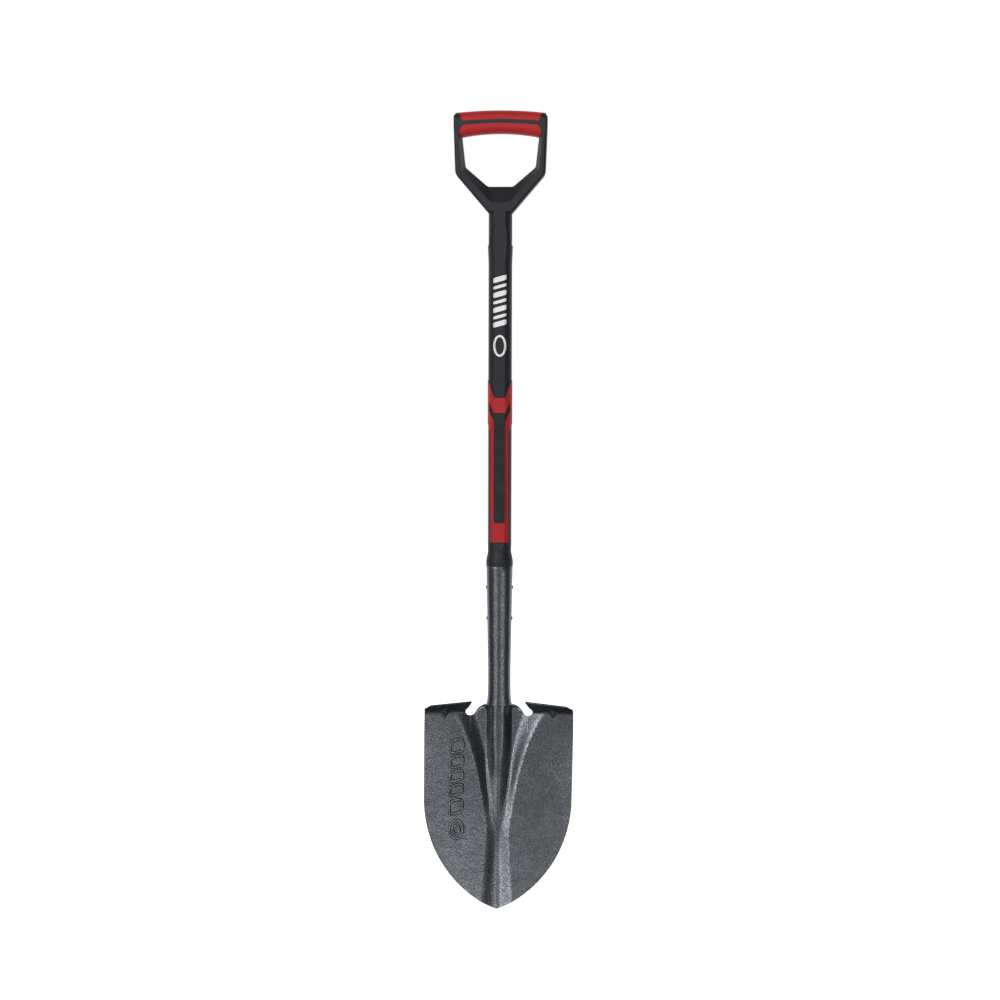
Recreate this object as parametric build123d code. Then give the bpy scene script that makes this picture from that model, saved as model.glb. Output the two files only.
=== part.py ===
from build123d import *
import os
from math import asin, cos, hypot, pi, radians, sin

# A D-handle round point shovel. Millimetres. +X is to the right, the dished front of the blade faces -Y,
# and +Z runs up the handle's axis. Inside this file heights are measured up from the blade's tip; the
# last step moves everything down so that the origin is the point the tool hangs from, the middle of the
# crossbar's underside.

# Blade
SHEET = 2.0                 # thickness of the pressed sheet
SHEET_MARGIN = 6.0          # how far the sheet runs past its outline before it is cut
BLADE_HALF_WIDTH = 111.0
POINT_HALF_WIDTH = 109.4    # where the sides have drawn in to at the point's top
TAPER_HEIGHT = 250.0        # the sides draw in from here down
POINT_HEIGHT = 158.0        # where the arcs of the point meet the parallel sides
STEP_INNER_X = 50.6         # inner end of a step, along its fold
FOLD_INNER_HEIGHT = 282.0
FOLD_OUTER_HEIGHT = 279.0
STEP_RISE = 36.0            # degrees a step rises towards the front
STEP_DEPTH_INNER = 26.2
STEP_DEPTH_OUTER = 19.6
STEP_OVERHANG = 10.0        # how far the step's free corner reaches over the notch
STEP_CHAMFER = 10.0
NOTCH_X = 43.2
NOTCH_HEIGHT = 281.0
NOTCH_RADIUS = 7.3
GUSSET_HALF_WIDTH = 8.0
GUSSET_DROP = 12.5          # down the blade
GUSSET_REACH = 9.0          # out along the step
BLADE_TOP_DEPTH = -5.0      # front of the blade beside the socket, in front of the handle's axis
BLADE_TOP_HEIGHT = 287.6
LEAN = 0.18                 # forward lean at the top of the blade
LEAN_GROWTH = 3.5e-4        # extra lean per millimetre squared down the blade
DISH_TOP = 5.0              # how far the side edges stand forward, at the steps and lower down
DISH_LOW = 9.0
KEEL_DEPTH = 5.2            # of the vee between the rib's end and the tip

# Socket, rolled from the blade's sheet
SOCKET_WALL = 1.9
SOCKET_MOUTH_HEIGHT = 498.1
SOCKET_MOUTH_RADIUS = 19.7
SOCKET_WAIST_HEIGHT = 342.1
SOCKET_WAIST_RADIUS = 16.9
SOCKET_FRONT_HEIGHT = 286.6  # lower end of the socket's wall, in front and behind
SOCKET_BACK_HEIGHT = 323.8
SOCKET_ROOT_RADIUS = 17.45
SEAM_WIDTH = 1.2

# Rivets
RIVET_HEIGHTS = {"rivet_upper": 466.4, "rivet_lower": 420.2}
RIVET_RADIUS = 2.4
RIVET_HEAD_RADIUS = 3.7
RIVET_HEAD_HEIGHT = 2.1
RIVET_SEAT_DEPTH = 0.4
RIVET_CLEARANCE = 0.05

# Handle
CORE_RADIUS = 13.0
CORE_BORE = 9.0
CORE_BOTTOM = 328.0
CORE_TOP = 1013.0
PLUG_GAP = 0.05
LOWER_PLUG_TOP = 507.0
UPPER_PLUG_BOTTOM = 954.0
JACKET_RADIUS = 17.35
JACKET_FLAT = 15.6          # from the axis to the flats, front and back
JACKET_BOTTOM = 348.0
SOCKET_GAP = 0.1            # between the socket's bore and the jacket in it
RIM_RADIUS = 18.45           # rim at the jacket's top
RIM_HEIGHT = 972.0
RIM_FADE_HEIGHT = 944.4
TONGUE_TOP = 1001.6
TONGUE_HALF_WIDTH = 8.2
JOINT_GAP = 0.4             # between the jacket and the D-grip's neck

# Soft grip on the handle
SLEEVE_TOP = 775.4
BAND_RADIUS = 18.2
BAND_FLAT = 16.2
BAND_BOTTOM = 709.4
SLEEVE_RADIUS = 17.6
SLEEVE_FLAT = 15.8
SLEEVE_BOTTOM = 534.4
RECESS_RADIUS = 16.0
RECESS_FLAT = 14.0
STRIP_OUTER = 13.2
STRIP_INNER = 8.5
CHEVRON_TOP = 748.3
CHEVRON_BOTTOM = 726.3
INLAY_BOTTOM = 562.9
INLAY_FLAT = 15.3
INLAY_GAP = 0.25

# Collar
COLLAR_TOP = 531.7
COLLAR_FLARE_HEIGHT = 519.3
COLLAR_WIDEST_HEIGHT = 506.2
COLLAR_RADIUS = 20.0
COLLAR_GAP = 0.05

# D-grip
HANG_HEIGHT = 1135.9        # middle of the crossbar's underside
GRIP_TOP = 1169.7
GRIP_HALF_WIDTH = 68.9
GRIP_HALF_DEPTH = 15.6
GRIP_EDGE_ROUNDING = 4.5
BAR_HALF_LENGTH = 66.3
BAR_BOW = 3.6               # how far the crossbar's top and underside drop towards its ends
BAR_UNDER_BOW = 7.6
BAR_ROUNDING = 11.0
PAD_THICKNESS = 2.5
PAD_STRIP_TOP = 1156.3      # black strip between the two pads
PAD_STRIP_BOTTOM = 1150.5
OPENING_BOTTOM = 1058.5
OPENING_ROUNDING = 8.0
SCOOP_BOTTOM = 1035.0
SCOOP_ROUNDING = 16.0
NECK_TOP = 1019.3
TALL = 1400.0               # longer than the tool, for cutting shapes


def smoothstep(t):
    t = min(1.0, max(0.0, t))
    return t * t * (3 - 2 * t)


def mirrored(right_side):
    """Closed outline from its right half, given from top to bottom as (x, height)."""
    left_side = [(-x, h) for x, h in reversed(right_side) if x > 0]
    return right_side + left_side


def front_face(outline):
    """Face in the XZ plane with this closed outline."""
    return Plane.XZ * make_face(Polyline(*outline, close=True))


def front_prism(outline, half_depth=100.0):
    """Prism with this outline seen from the front, running through in Y."""
    return extrude(front_face(outline), half_depth, both=True)


def flatted_bar(radius, flat, bottom, top):
    """Round bar up the axis with a flat in front and behind."""
    section = Circle(radius) & Rectangle(3 * radius, 2 * flat)
    return extrude(Pos(0, 0, bottom) * section, top - bottom)


def turned(profile):
    """Solid of revolution about the handle's axis from (radius, height) points."""
    return revolve(Plane.XZ * make_face(Polyline(*profile, close=True)), Axis.Z)


def socket_radius(height):
    """Outside radius of the socket's taper."""
    share = (height - SOCKET_WAIST_HEIGHT) / (SOCKET_MOUTH_HEIGHT - SOCKET_WAIST_HEIGHT)
    return SOCKET_WAIST_RADIUS + share * (SOCKET_MOUTH_RADIUS - SOCKET_WAIST_RADIUS)


def cross_bores():
    """The rivets' holes, through everything from left to right."""
    bore = Rot(0, 90, 0) * Cylinder(RIVET_RADIUS + RIVET_CLEARANCE, 60)
    return [Pos(0, 0, h) * bore for h in RIVET_HEIGHTS.values()]


# ---- blade -------------------------------------------------------------------------------------------

def trough_half_width(h):
    t = max(0.0, (h - 100) / 175)
    return 14 + 12 * t + 24 * t**3


def trough_depth(h):
    return 9 * smoothstep((h - 85) / 150)


def keel_depth(across, h):
    """The soft vee that carries on below the rib down to the tip."""
    reach = 19 + 8 * max(0.0, 1 - h / 100)
    return KEEL_DEPTH * (1 - smoothstep((h - 80) / 75)) * (1 - smoothstep(across / reach))


def rib_height(h):
    t = min(1.0, max(0.0, (h - 108) / 180))
    return 20.6 * t**1.4 * (1.4 - 0.4 * t)


def rib_half_width(h):
    return 4 + 16 * smoothstep((h - 105) / 85)


def wing_depth(x, h):
    """Front of the dished sheet, without the trough and rib in its middle."""
    down = max(0.0, BLADE_TOP_HEIGHT - h)
    dish = DISH_TOP + (DISH_LOW - DISH_TOP) * smoothstep(down / 130)
    return BLADE_TOP_DEPTH - LEAN * down - LEAN_GROWTH * down**2 - dish * (x / BLADE_HALF_WIDTH) ** 2


def front_depth(x, h):
    """Y of the blade's front face: dished wings, a trough down the middle, and the rib in the trough."""
    across = abs(x)
    into_wall = smoothstep((across / trough_half_width(h) - 0.62) / 0.76)
    fullness = 1 + 0.8 * smoothstep((h - 180) / 90)
    up_rib = min(1.0, across / rib_half_width(h)) ** fullness
    rib = rib_height(h) * (1 + cos(pi * up_rib)) / 2
    return wing_depth(x, h) + trough_depth(h) * (1 - into_wall) + keel_depth(across, h) - rib


def sheet_section(h):
    """Closed wire: the sheet cut level at this height, wider than the blade."""
    half = BLADE_HALF_WIDTH + SHEET_MARGIN
    stations = 28
    right = [half * (i / stations) ** 1.5 for i in range(1, stations + 1)]
    across = [-x for x in reversed(right)] + [0.0] + right
    front, back = [], []
    for x in across:
        y = front_depth(x, h)
        slope = front_depth(x + 0.2, h) - front_depth(x - 0.2, h)
        size = hypot(slope, 0.4)
        front.append((x, y, h))
        back.append((x - SHEET * slope / size, y + SHEET * 0.4 / size, h))
    edges = [Edge.make_spline(front), Edge.make_line(front[-1], back[-1])]
    edges += [Edge.make_spline(back[::-1]), Edge.make_line(back[0], front[0])]
    return Wire(edges)


def pressed_sheet():
    """The sheet before its outline is cut: closely spaced level sections joined by ruled strips."""
    count = 31
    reach = BLADE_TOP_HEIGHT + 2 * SHEET_MARGIN
    heights = [i * reach / (count - 1) - SHEET_MARGIN for i in range(count)]
    return Solid.make_loft([sheet_section(h) for h in heights], ruled=True)


def blade_outline():
    """Seen from the front: arcs to the point, parallel sides, fold lines, notches and the socket's root."""
    w, top = POINT_HALF_WIDTH, BLADE_TOP_HEIGHT + 4
    point_radius = (w**2 + POINT_HEIGHT**2) / (2 * w)
    halfway = POINT_HEIGHT / 2
    bulge = w - point_radius + (point_radius**2 - (POINT_HEIGHT - halfway) ** 2) ** 0.5
    notch_in, notch_out = NOTCH_X - NOTCH_RADIUS, NOTCH_X + NOTCH_RADIUS
    edges = [
        ThreePointArc((0, 0), (bulge, halfway), (w, POINT_HEIGHT)),
        Line((w, POINT_HEIGHT), (BLADE_HALF_WIDTH, TAPER_HEIGHT)),
        Line((BLADE_HALF_WIDTH, TAPER_HEIGHT), (BLADE_HALF_WIDTH, FOLD_OUTER_HEIGHT)),
        Line((BLADE_HALF_WIDTH, FOLD_OUTER_HEIGHT), (notch_out, FOLD_INNER_HEIGHT)),
        Line((notch_out, FOLD_INNER_HEIGHT), (notch_out, NOTCH_HEIGHT)),
        ThreePointArc((notch_out, NOTCH_HEIGHT), (NOTCH_X, NOTCH_HEIGHT - NOTCH_RADIUS),
                      (notch_in, NOTCH_HEIGHT)),
        ThreePointArc((notch_in, NOTCH_HEIGHT), (29, 286.6), (17, top)),
        Line((17, top), (0, top)),
    ]
    half = Curve() + edges
    whole = half + mirror(half, Plane.YZ)
    return extrude(Plane.XZ * make_face(whole), 150, both=True)


def step_plane(side):
    """Plane of a step's tread: x outward along its fold, z out of its top."""
    inner = Vector(side * STEP_INNER_X, wing_depth(STEP_INNER_X, FOLD_INNER_HEIGHT) + 1, FOLD_INNER_HEIGHT)
    outer_y = wing_depth(BLADE_HALF_WIDTH, FOLD_OUTER_HEIGHT) + 1
    outer = Vector(side * BLADE_HALF_WIDTH, outer_y, FOLD_OUTER_HEIGHT)
    along = (outer - inner).normalized()
    forward = Vector(0, -cos(radians(STEP_RISE)), sin(radians(STEP_RISE)))
    up = along.cross(forward) if side < 0 else forward.cross(along)
    return Plane(origin=inner, x_dir=along, z_dir=up.normalized())


def step(side):
    """One forward-turned foot step with its pressed gusset."""
    plane = step_plane(side)
    length = BLADE_HALF_WIDTH - STEP_INNER_X
    away = side  # local y points back on the right-hand step and forward on the left-hand one
    outline = [(0, 0), (-STEP_OVERHANG * 0.55, 10), (-STEP_OVERHANG, STEP_DEPTH_INNER),
               (length - STEP_CHAMFER, STEP_DEPTH_OUTER), (length, STEP_DEPTH_OUTER - STEP_CHAMFER),
               (length, 0)]
    forward_outline = [(x, -away * d) for x, d in outline]
    tread = extrude(plane * make_face(Polyline(*forward_outline, close=True)), SHEET / 2, both=True)
    bend = plane * Pos(length / 2, 0, 0) * Rot(0, 90, 0) * Cylinder(SHEET * 0.75, length)
    middle = length / 2
    left = plane.from_local_coords((middle - GUSSET_HALF_WIDTH, 0, 0))
    right = plane.from_local_coords((middle + GUSSET_HALF_WIDTH, 0, 0))
    reach = plane.from_local_coords((middle, -away * GUSSET_REACH, 0))
    apex_height = left.Z - GUSSET_DROP
    apex = Vector(reach.X, wing_depth(abs(reach.X), apex_height) + 0.5, apex_height)
    root = Vector(reach.X, left.Y + 1, left.Z + 0.5)
    corners = [left, right, reach, apex, root]
    faces = [(0, 2, 3), (1, 3, 2), (0, 4, 2), (1, 2, 4), (0, 3, 4), (1, 4, 3)]
    gusset = Solid(Shell([Face(Wire.make_polygon([corners[i] for i in f])) for f in faces]))
    return tread + bend + gusset


def socket():
    """The rolled socket: tapered tube, seam up the back, lower end cut to open the frog behind."""
    outside = [(0, SOCKET_MOUTH_HEIGHT), (SOCKET_MOUTH_RADIUS, SOCKET_MOUTH_HEIGHT),
               (SOCKET_WAIST_RADIUS, SOCKET_WAIST_HEIGHT), (17.0, 311.7),
               (SOCKET_ROOT_RADIUS, SOCKET_FRONT_HEIGHT - 5), (0, SOCKET_FRONT_HEIGHT - 5)]
    inside = [(max(0.0, r - SOCKET_WALL), h) for r, h in outside]
    inside[0] = (0, SOCKET_MOUTH_HEIGHT + 1)
    inside[1] = (SOCKET_MOUTH_RADIUS - SOCKET_WALL + 0.02, SOCKET_MOUTH_HEIGHT + 1)
    inside[-2] = (SOCKET_ROOT_RADIUS - SOCKET_WALL, SOCKET_FRONT_HEIGHT - 6)
    inside[-1] = (0, SOCKET_FRONT_HEIGHT - 6)
    tube = turned(outside) - turned(inside)
    seam = Pos(0, 15, 405) * Box(SEAM_WIDTH, 20, 300)
    below = [(-30, SOCKET_FRONT_HEIGHT), (3, SOCKET_FRONT_HEIGHT), (SOCKET_ROOT_RADIUS, SOCKET_BACK_HEIGHT),
             (30, SOCKET_BACK_HEIGHT + 10), (30, 200), (-30, 200)]
    throat = extrude(Plane.YZ * make_face(Polyline(*below, close=True)), 60, both=True)
    return tube - seam - throat


def make_blade():
    sheet = pressed_sheet() & blade_outline()
    whole = sheet + socket() + step(1) + step(-1)
    for bore in cross_bores():
        whole = whole - bore
    for height in RIVET_HEIGHTS.values():
        for side in (-1, 1):
            place = Pos(side * (rivet_seat(height) + 5), 0, height)
            whole = whole - place * Rot(0, 90, 0) * Cylinder(RIVET_HEAD_RADIUS + RIVET_CLEARANCE, 10)
    return whole


def rivet_seat(height):
    """Distance from the axis to the flat seats that the rivet's heads press into the socket."""
    return socket_radius(height) - RIVET_SEAT_DEPTH


def make_rivet(height):
    """Domed-head rivet from left to right, turned about its own axis."""
    seat = rivet_seat(height)
    tip = seat + RIVET_HEAD_HEIGHT
    dome_radius = (RIVET_HEAD_RADIUS**2 + RIVET_HEAD_HEIGHT**2) / (2 * RIVET_HEAD_HEIGHT)
    half_angle = asin(RIVET_HEAD_RADIUS / dome_radius) / 2
    shoulder = (tip - dome_radius * (1 - cos(half_angle)), dome_radius * sin(half_angle))
    half = Curve() + [ThreePointArc((tip, 0), shoulder, (seat, RIVET_HEAD_RADIUS)),
                      Line((seat, RIVET_HEAD_RADIUS), (seat, RIVET_RADIUS)),
                      Line((seat, RIVET_RADIUS), (0, RIVET_RADIUS))]
    outline = half + mirror(half, Plane.YZ) + Line((-tip, 0), (tip, 0))
    return Pos(0, 0, height) * revolve(make_face(outline), Axis.X)


# ---- handle ------------------------------------------------------------------------------------------

def make_core():
    tube = Pos(0, 0, CORE_BOTTOM) * extrude(Circle(CORE_RADIUS) - Circle(CORE_BORE), CORE_TOP - CORE_BOTTOM)
    return tube - cross_bores()


def make_plug(bottom, top):
    plug = Pos(0, 0, bottom) * extrude(Circle(CORE_BORE - PLUG_GAP), top - bottom)
    return chamfer(plug.edges().filter_by(GeomType.CIRCLE), 1.0)


def scarf_prism(above):
    """The castellated joint of jacket and D-grip seen from the front: all that is above it, or below."""
    wide, end = 90.0, GRIP_TOP + 10 if above else JACKET_BOTTOM - 10
    gap = JOINT_GAP if above else 0.0
    line = [(TONGUE_HALF_WIDTH + gap, TONGUE_TOP + gap), (14.0 + gap, 984.4 + gap),
            (17.6 + gap, RIM_HEIGHT + gap), (wide, RIM_HEIGHT + gap)]
    right_side = [(wide, end)] + line[::-1] if above else line + [(wide, end)]
    return front_prism(mirrored(right_side))


def red_outline():
    """Everything red, right half from the top: chevron, lower V, strip and end box."""
    return mirrored([(8.2, CHEVRON_TOP), (15.0, 768.2), (18.5, SLEEVE_TOP), (30.0, SLEEVE_TOP),
                     (30.0, BAND_BOTTOM), (18.5, BAND_BOTTOM), (STRIP_OUTER, 697.9),
                     (STRIP_OUTER, SLEEVE_BOTTOM)])


def inlay_outline():
    """The black inlay, right half: panel with an ear at each top corner."""
    return mirrored([(8.8, CHEVRON_BOTTOM), (15.2, 742.2), (15.2, 728.3), (STRIP_INNER, 713.9),
                     (STRIP_INNER, INLAY_BOTTOM + 2.5), (STRIP_INNER - 2.5, INLAY_BOTTOM)])


def recess_core():
    return flatted_bar(RECESS_RADIUS, RECESS_FLAT, SLEEVE_BOTTOM - 20, SLEEVE_TOP + 20)


def make_jacket():
    """Resin sleeve: recess for the soft grip, rim and tongues at the top, tapered end for the socket."""
    mouth = SOCKET_MOUTH_HEIGHT
    neck_gap = SOCKET_WALL + SOCKET_GAP
    outside = turned([(0, TONGUE_TOP + 5), (RIM_RADIUS, TONGUE_TOP + 5), (RIM_RADIUS, RIM_HEIGHT),
                      (JACKET_RADIUS, RIM_FADE_HEIGHT), (JACKET_RADIUS, mouth),
                      (socket_radius(mouth) - neck_gap, mouth),
                      (socket_radius(JACKET_BOTTOM) - neck_gap, JACKET_BOTTOM), (0, JACKET_BOTTOM)])
    flats = Pos(0, 0, mouth + 300) * Box(60, 2 * JACKET_FLAT, 600) + Pos(0, 0, mouth - 100) * Box(60, 60, 200)
    body = (outside & flats & scarf_prism(False)) - Cylinder(CORE_RADIUS + PLUG_GAP, 2 * TALL)
    body -= front_prism(red_outline()) - recess_core()
    return body - cross_bores()


def make_sleeve():
    band = flatted_bar(BAND_RADIUS, BAND_FLAT, BAND_BOTTOM, SLEEVE_TOP)
    strips = flatted_bar(SLEEVE_RADIUS, SLEEVE_FLAT, SLEEVE_BOTTOM, BAND_BOTTOM)
    red = (band + strips) & front_prism(red_outline())
    return red - front_prism(inlay_outline()) - recess_core()


def make_inlay(side):
    """Black inlay in front (side -1) or behind (side 1)."""
    window = offset(make_face(Polyline(*inlay_outline(), close=True)), -INLAY_GAP)
    window = extrude(Plane.XZ * window, 60, both=True)
    half = Pos(0, side * 50, 650) * Box(100, 100, 400)
    bar = flatted_bar(JACKET_RADIUS, INLAY_FLAT, INLAY_BOTTOM - 5, SLEEVE_TOP)
    return (bar & window & half) - recess_core()


def make_collar():
    """Collar that flares from the flatted jacket down to the round mouth of the socket."""
    top = JACKET_RADIUS + 0.1
    outline = [Line((0, COLLAR_TOP), (top, COLLAR_TOP)), Line((top, COLLAR_TOP), (top, COLLAR_FLARE_HEIGHT)),
               Spline((top, COLLAR_FLARE_HEIGHT), (18.9, 511.8), (COLLAR_RADIUS, COLLAR_WIDEST_HEIGHT)),
               Line((COLLAR_RADIUS, COLLAR_WIDEST_HEIGHT), (COLLAR_RADIUS, 503.2)),
               Line((COLLAR_RADIUS, 503.2), (SOCKET_MOUTH_RADIUS + 0.1, SOCKET_MOUTH_HEIGHT)),
               Line((SOCKET_MOUTH_RADIUS + 0.1, SOCKET_MOUTH_HEIGHT), (0, SOCKET_MOUTH_HEIGHT)),
               Line((0, SOCKET_MOUTH_HEIGHT), (0, COLLAR_TOP))]
    body = revolve(Plane.XZ * make_face(outline), Axis.Z)
    for side in (-1, 1):
        over = [(side * (JACKET_FLAT + 0.1), COLLAR_TOP + 1),
                (side * (COLLAR_RADIUS + 0.1), COLLAR_WIDEST_HEIGHT + 2),
                (side * 30, COLLAR_WIDEST_HEIGHT + 2), (side * 30, COLLAR_TOP + 1)]
        body -= extrude(Plane.YZ * make_face(Polyline(*over, close=True)), 60, both=True)
    bore = flatted_bar(JACKET_RADIUS + COLLAR_GAP, JACKET_FLAT + COLLAR_GAP,
                       SOCKET_MOUTH_HEIGHT - 1, COLLAR_TOP + 1)
    return body - bore


# ---- D-grip ------------------------------------------------------------------------------------------

def crossbar(inset):
    """The bowed, rounded crossbar, or its core when inset by the pads' thickness."""
    end = BAR_HALF_LENGTH - inset
    top, under = GRIP_TOP - inset, HANG_HEIGHT + inset
    outline = [ThreePointArc((-end, top - BAR_BOW), (0, top), (end, top - BAR_BOW)),
               Line((end, top - BAR_BOW), (end, under - BAR_UNDER_BOW)),
               ThreePointArc((end, under - BAR_UNDER_BOW), (0, under), (-end, under - BAR_UNDER_BOW)),
               Line((-end, under - BAR_UNDER_BOW), (-end, top - BAR_BOW))]
    bar = extrude(Plane.XZ * make_face(outline), GRIP_HALF_DEPTH - inset, both=True)
    long_edges = [e for e in bar.edges() if e.geom_type == GeomType.CIRCLE]
    return fillet(long_edges, BAR_ROUNDING - inset)


def below_bow():
    """Everything under the crossbar's bowed top, rounded the same way, to finish the legs' upper ends."""
    reach = GRIP_HALF_WIDTH + 10
    bow_radius = (BAR_HALF_LENGTH**2 + BAR_BOW**2) / (2 * BAR_BOW)
    side_height = GRIP_TOP - bow_radius + (bow_radius**2 - reach**2) ** 0.5
    outline = [ThreePointArc((-reach, side_height), (0, GRIP_TOP), (reach, side_height)),
               Line((reach, side_height), (reach, RIM_HEIGHT - 20)),
               Line((reach, RIM_HEIGHT - 20), (-reach, RIM_HEIGHT - 20)),
               Line((-reach, RIM_HEIGHT - 20), (-reach, side_height))]
    block = extrude(Plane.XZ * make_face(outline), GRIP_HALF_DEPTH, both=True)
    return fillet([e for e in block.edges() if e.geom_type == GeomType.CIRCLE], BAR_ROUNDING)


def bowed_line(half_length, height):
    """Points from the middle outwards on a line that droops like the crossbar's top."""
    return [(half_length * i / 6, height - BAR_BOW * (half_length * i / 6 / BAR_HALF_LENGTH) ** 2)
            for i in range(7)]


def upper_pad_zone():
    return front_prism(mirrored([(64.6, GRIP_TOP + 5)] + bowed_line(55.6, PAD_STRIP_TOP)[::-1]))


def lower_pad_zone():
    return front_prism(mirrored(bowed_line(53.0, PAD_STRIP_BOTTOM) + [
        (56.8, PAD_STRIP_BOTTOM - 5.0), (59.2, PAD_STRIP_BOTTOM - 9.0), (59.9, HANG_HEIGHT),
        (59.0, HANG_HEIGHT - 4), (55.5, HANG_HEIGHT - 9)]))


def grip_frame():
    """Legs, Y and neck before the hand opening is cut: rounded outline, then a neck of the jacket's size."""
    outline = [(GRIP_HALF_WIDTH, GRIP_TOP - 5.5), (GRIP_HALF_WIDTH, 1148), (66.3, 1076.5),
               (JACKET_RADIUS, NECK_TOP)]
    plate = make_face(Polyline(*mirrored(outline), close=True))
    plate = fillet([v for v in plate.vertices() if 1070 < v.Y < 1080], 18)
    plate = fillet([v for v in plate.vertices() if v.Y > 1158], GRIP_EDGE_ROUNDING)
    body = extrude(Plane.XZ * plate, GRIP_HALF_DEPTH, both=True)
    rims = body.faces().sort_by(Axis.Y)
    body = fillet(rims[0].edges() + rims[-1].edges(), GRIP_EDGE_ROUNDING)
    neck = flatted_bar(JACKET_RADIUS, JACKET_FLAT, RIM_HEIGHT - 5, NECK_TOP + 12)
    return (body & below_bow()) + neck


def opening_wire(side_x, corner, bottom_x, bottom, depth, bottom_rounding):
    """Rounded outline of the hand opening at one depth, open upwards past the crossbar."""
    points = mirrored([(side_x, GRIP_TOP + 10), (side_x, HANG_HEIGHT - 7), corner, (bottom_x, bottom)])
    wire = Wire.make_polygon([Vector(x, depth, h) for x, h in points])
    upper = [v for v in wire.vertices() if bottom + 5 < v.Z < HANG_HEIGHT - 20]
    wire = wire.fillet_2d(OPENING_ROUNDING, upper)
    return wire.fillet_2d(bottom_rounding, [v for v in wire.vertices() if v.Z < bottom + 1])


def make_dgrip():
    """Moulded grip body: crossbar core under the pads, legs, scooped Y and the neck over the core."""
    frame = grip_frame()
    waist = [opening_wire(56.2, (51.6, 1086.9), 18.5, OPENING_BOTTOM, y, OPENING_ROUNDING) for y in (-3, 3)]
    frame -= Solid.make_loft(waist, ruled=True)
    for side in (-1, 1):
        mouth = opening_wire(61.1, (56.7, 1080.0), 14.0, SCOOP_BOTTOM, side * GRIP_HALF_DEPTH, SCOOP_ROUNDING)
        frame -= Solid.make_loft([waist[(1 + side) // 2], mouth], ruled=True)
    envelope = crossbar(0)
    pockets = (envelope & (upper_pad_zone() + lower_pad_zone())) - crossbar(PAD_THICKNESS)
    body = (frame + envelope - pockets) & scarf_prism(True)
    return body - Pos(0, 0, CORE_TOP + 1 - 100) * Cylinder(CORE_RADIUS + PLUG_GAP, 200)


def make_pad(zone):
    return (crossbar(0) & zone) - crossbar(PAD_THICKNESS)


def main():
    os.makedirs("parts", exist_ok=True)
    nodes = {
        "blade": make_blade(),
        "rivet_upper": make_rivet(RIVET_HEIGHTS["rivet_upper"]),
        "rivet_lower": make_rivet(RIVET_HEIGHTS["rivet_lower"]),
        "fibreglass_core": make_core(),
        "core_plug_lower": make_plug(CORE_BOTTOM, LOWER_PLUG_TOP) - cross_bores(),
        "core_plug_upper": make_plug(UPPER_PLUG_BOTTOM, CORE_TOP),
        "handle_jacket": make_jacket(),
        "grip_sleeve": make_sleeve(),
        "grip_inlay_front": make_inlay(-1),
        "grip_inlay_back": make_inlay(1),
        "socket_collar": make_collar(),
        "dgrip_body": make_dgrip(),
        "dgrip_pad_upper": make_pad(upper_pad_zone()),
        "dgrip_pad_lower": make_pad(lower_pad_zone()),
    }
    for name, solid in nodes.items():
        export_step(Pos(0, 0, -HANG_HEIGHT) * solid, f"parts/{name}.step")


main()
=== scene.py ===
import math

import bmesh
import bpy
import numpy as np
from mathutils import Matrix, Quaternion, Vector


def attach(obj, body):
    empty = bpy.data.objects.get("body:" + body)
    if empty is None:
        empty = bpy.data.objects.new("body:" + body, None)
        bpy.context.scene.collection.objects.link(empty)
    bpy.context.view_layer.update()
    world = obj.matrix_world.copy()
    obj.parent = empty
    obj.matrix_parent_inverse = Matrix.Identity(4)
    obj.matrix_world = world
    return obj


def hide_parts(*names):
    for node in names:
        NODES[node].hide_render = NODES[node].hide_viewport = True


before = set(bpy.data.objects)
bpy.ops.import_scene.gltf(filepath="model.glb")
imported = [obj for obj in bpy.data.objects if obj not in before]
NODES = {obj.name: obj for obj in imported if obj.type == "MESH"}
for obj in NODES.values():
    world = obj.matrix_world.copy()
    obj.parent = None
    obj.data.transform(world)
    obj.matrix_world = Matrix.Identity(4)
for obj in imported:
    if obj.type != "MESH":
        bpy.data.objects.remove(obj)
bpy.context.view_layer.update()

# Sizes are in millimetres with heights above the blade's tip, as in the CAD, until a mesh is made.
HANG_HEIGHT = 1135.9        # middle of the crossbar's underside, the frame's origin
SHEET = 2.0
BLADE_HALF_WIDTH = 111.0
POINT_HALF_WIDTH = 109.4    # where the sides have drawn in to at the point's top
TAPER_HEIGHT = 250.0        # the sides draw in from here down
POINT_HEIGHT = 158.0        # the arcs of the point start here
BLADE_TOP_HEIGHT = 287.6
BLADE_TOP_DEPTH = -5.0
LEAN = 0.18                 # at the blade's top, growing downwards
LEAN_GROWTH = 3.5e-4
DISH_TOP = 5.0              # how far the side edges stand forward, at the steps and lower down
DISH_LOW = 9.0
DISH_RUN = 130.0
KEEL_DEPTH = 5.2
KEEL_REACH = 19.0           # from the centre line to where the keel has run out
KEEL_SPREAD = 8.0           # what that gains by the tip
KEEL_SPREAD_TOP = 100.0
KEEL_FADE_START = 80.0      # the keel fades into the trough from here up
KEEL_FADE_RUN = 75.0
TROUGH_DEPTH = 9.0
TROUGH_START = 85.0         # the trough deepens from here up
TROUGH_RUN = 150.0
TROUGH_HALF_WIDTHS = (14.0, 12.0, 24.0)     # constant, linear and cubic part of its growth upwards
TROUGH_WIDENING_START = 100.0
TROUGH_WIDENING_RUN = 175.0
WALL_START = 0.62           # shares of the trough's half width: where its wall begins
WALL_RUN = 0.76             # and how wide the wall is
RIB_START = 108.0           # the rib's point
RIB_RUN = 180.0
RIB_HEIGHT = 20.6
RIB_POWER = 1.4
RIB_POINT_HALF_WIDTH = 4.0
RIB_WIDENING = 16.0
RIB_WIDENING_START = 105.0
RIB_WIDENING_RUN = 85.0
RIB_FULLNESS = 0.8          # how much squarer the rib's section is near the socket
RIB_FULLNESS_START = 180.0
RIB_FULLNESS_RUN = 90.0
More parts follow.
